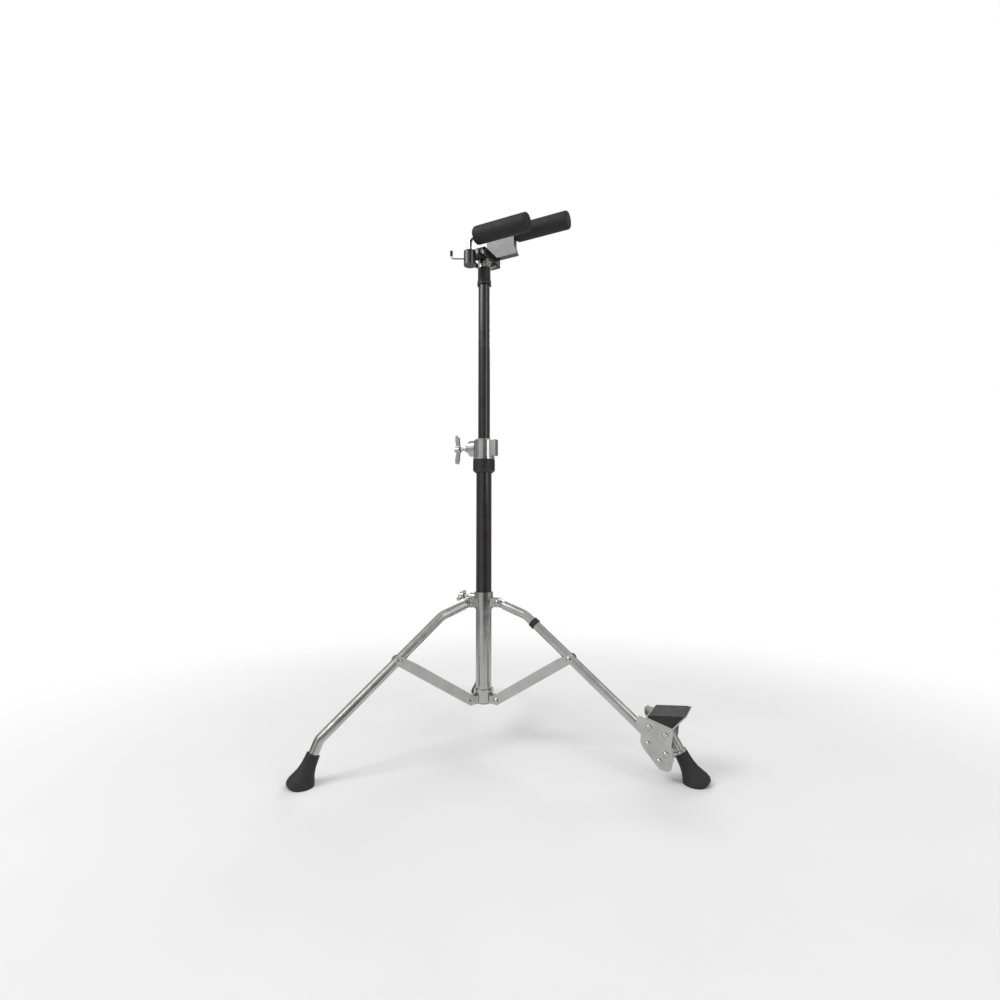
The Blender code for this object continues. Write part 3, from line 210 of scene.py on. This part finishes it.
join(paper_tree,
     (paper_place.outputs["Object"], paper_noise.inputs["Vector"]),
     (paper_colour, paper_surface.inputs["Base Color"]),
     (paper_place.outputs["Object"], paper_reach.inputs[0]),
     (paper_reach.outputs["Value"], paper_fade.inputs["Value"]),
     (paper_fade.outputs["Result"], paper_mix.inputs[0]),
     (paper_surface.outputs[0], paper_mix.inputs[1]),
     (paper_clear.outputs[0], paper_mix.inputs[2]),
     (paper_mix.outputs[0], paper_tree.nodes["Material Output"].inputs["Surface"]))
floor.data.materials.append(paper)

# The surround is white to the camera. What the plating reflects is a darker room
# with bright and dark upright bands, which draw the tubes' round sides.
ROOM_STRENGTH = 0.75
CEILING = (0.85, 0.85, 0.85, 1.0)
CEILING_STARTS, CEILING_FULL = 0.25, 0.70
BANDS = [(0.00, 0.75), (0.10, 0.20), (0.17, 0.90), (0.26, 0.95), (0.34, 0.10),
         (0.44, 0.12), (0.52, 0.80), (0.66, 0.25), (0.80, 0.90), (0.92, 0.15)]
world = bpy.data.worlds.new("studio")
bpy.context.scene.world = world
world.use_nodes = True
room = world.node_tree
room_place = room.nodes.new("ShaderNodeTexCoord")
room_split = room.nodes.new("ShaderNodeSeparateXYZ")
room_turn = room.nodes.new("ShaderNodeMath")
room_turn.operation = "ARCTAN2"
room_share = new_node(room, "ShaderNodeMapRange", From_Min=-math.pi, From_Max=math.pi)
room_walls = ramp(room, room_share.outputs["Result"], BANDS)
room_height = ramp(room, room_split.outputs["Z"], [(CEILING_STARTS, 0.0), (CEILING_FULL, 1.0)])
room_mix = room.nodes.new("ShaderNodeMix")
room_mix.data_type = "RGBA"
room_mix.inputs["B"].default_value = CEILING
room_light = room.nodes["Background"]
room_light.inputs["Strength"].default_value = ROOM_STRENGTH
white = new_node(room, "ShaderNodeBackground", Color=(1.0, 1.0, 1.0, 1.0))
ray = room.nodes.new("ShaderNodeLightPath")
seen = room.nodes.new("ShaderNodeMixShader")
join(room,
     (room_place.outputs["Generated"], room_split.inputs[0]),
     (room_split.outputs["Y"], room_turn.inputs[0]),
     (room_split.outputs["X"], room_turn.inputs[1]),
     (room_turn.outputs[0], room_share.inputs["Value"]),
     (room_height, room_mix.inputs["Factor"]),
     (room_walls, room_mix.inputs["A"]),
     (room_mix.outputs["Result"], room_light.inputs["Color"]),
     (ray.outputs["Is Camera Ray"], seen.inputs[0]),
     (room_light.outputs[0], seen.inputs[1]),
     (white.outputs[0], seen.inputs[2]),
     (seen.outputs[0], room.nodes["World Output"].inputs["Surface"]))

# Soft studio light: a large key from the upper left of the camera, a weaker
# fill from the right, and a strip behind to draw the tubes' edges.
AIM = (0.0, 0.0, 0.45)


def soft_lamp(name, place, size, power):
    """A rectangular area lamp of this size in metres and power in watts, turned towards AIM."""
    data = bpy.data.lights.new(name, "AREA")
    data.shape = "RECTANGLE"
    data.size, data.size_y = size
    data.energy = power
    lamp = bpy.data.objects.new(name, data)
    bpy.context.scene.collection.objects.link(lamp)
    lamp.location = place
    x, y, z = [aim - start for aim, start in zip(AIM, place)]
    lamp.rotation_euler = (math.atan2(math.hypot(x, y), -z), 0.0, math.atan2(y, x) - math.pi / 2)


soft_lamp("key", place=(-1.2, -1.8, 2.2), size=(1.2, 1.2), power=28.0)
soft_lamp("fill", place=(2.2, -0.8, 1.4), size=(1.0, 1.6), power=12.0)
soft_lamp("back", place=(-0.4, 2.2, 1.8), size=(1.6, 0.6), power=14.0)

# The camera stands where the photograph was taken from, found from the tripod's
# perspective and given from the foot of the column.
CAMERA_FROM_COLUMN = (0.4926, -0.9035, 0.376)
CAMERA_TILT, CAMERA_TURN = 93.5, 26.94
LENS, SENSOR = 19.98, 36.0
tube_low, tube_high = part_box("upper_tube")
column_x = (tube_low.x + tube_high.x) / 2
camera_data = bpy.data.cameras.new("camera")
camera_data.lens = LENS
camera_data.sensor_width = SENSOR
camera = bpy.data.objects.new("camera", camera_data)
bpy.context.scene.collection.objects.link(camera)
camera.location = (column_x + CAMERA_FROM_COLUMN[0], CAMERA_FROM_COLUMN[1], CAMERA_FROM_COLUMN[2])
camera.rotation_euler = (math.radians(CAMERA_TILT), 0.0, math.radians(CAMERA_TURN))
bpy.context.scene.camera = camera
bpy.context.scene.view_settings.view_transform = "Standard"
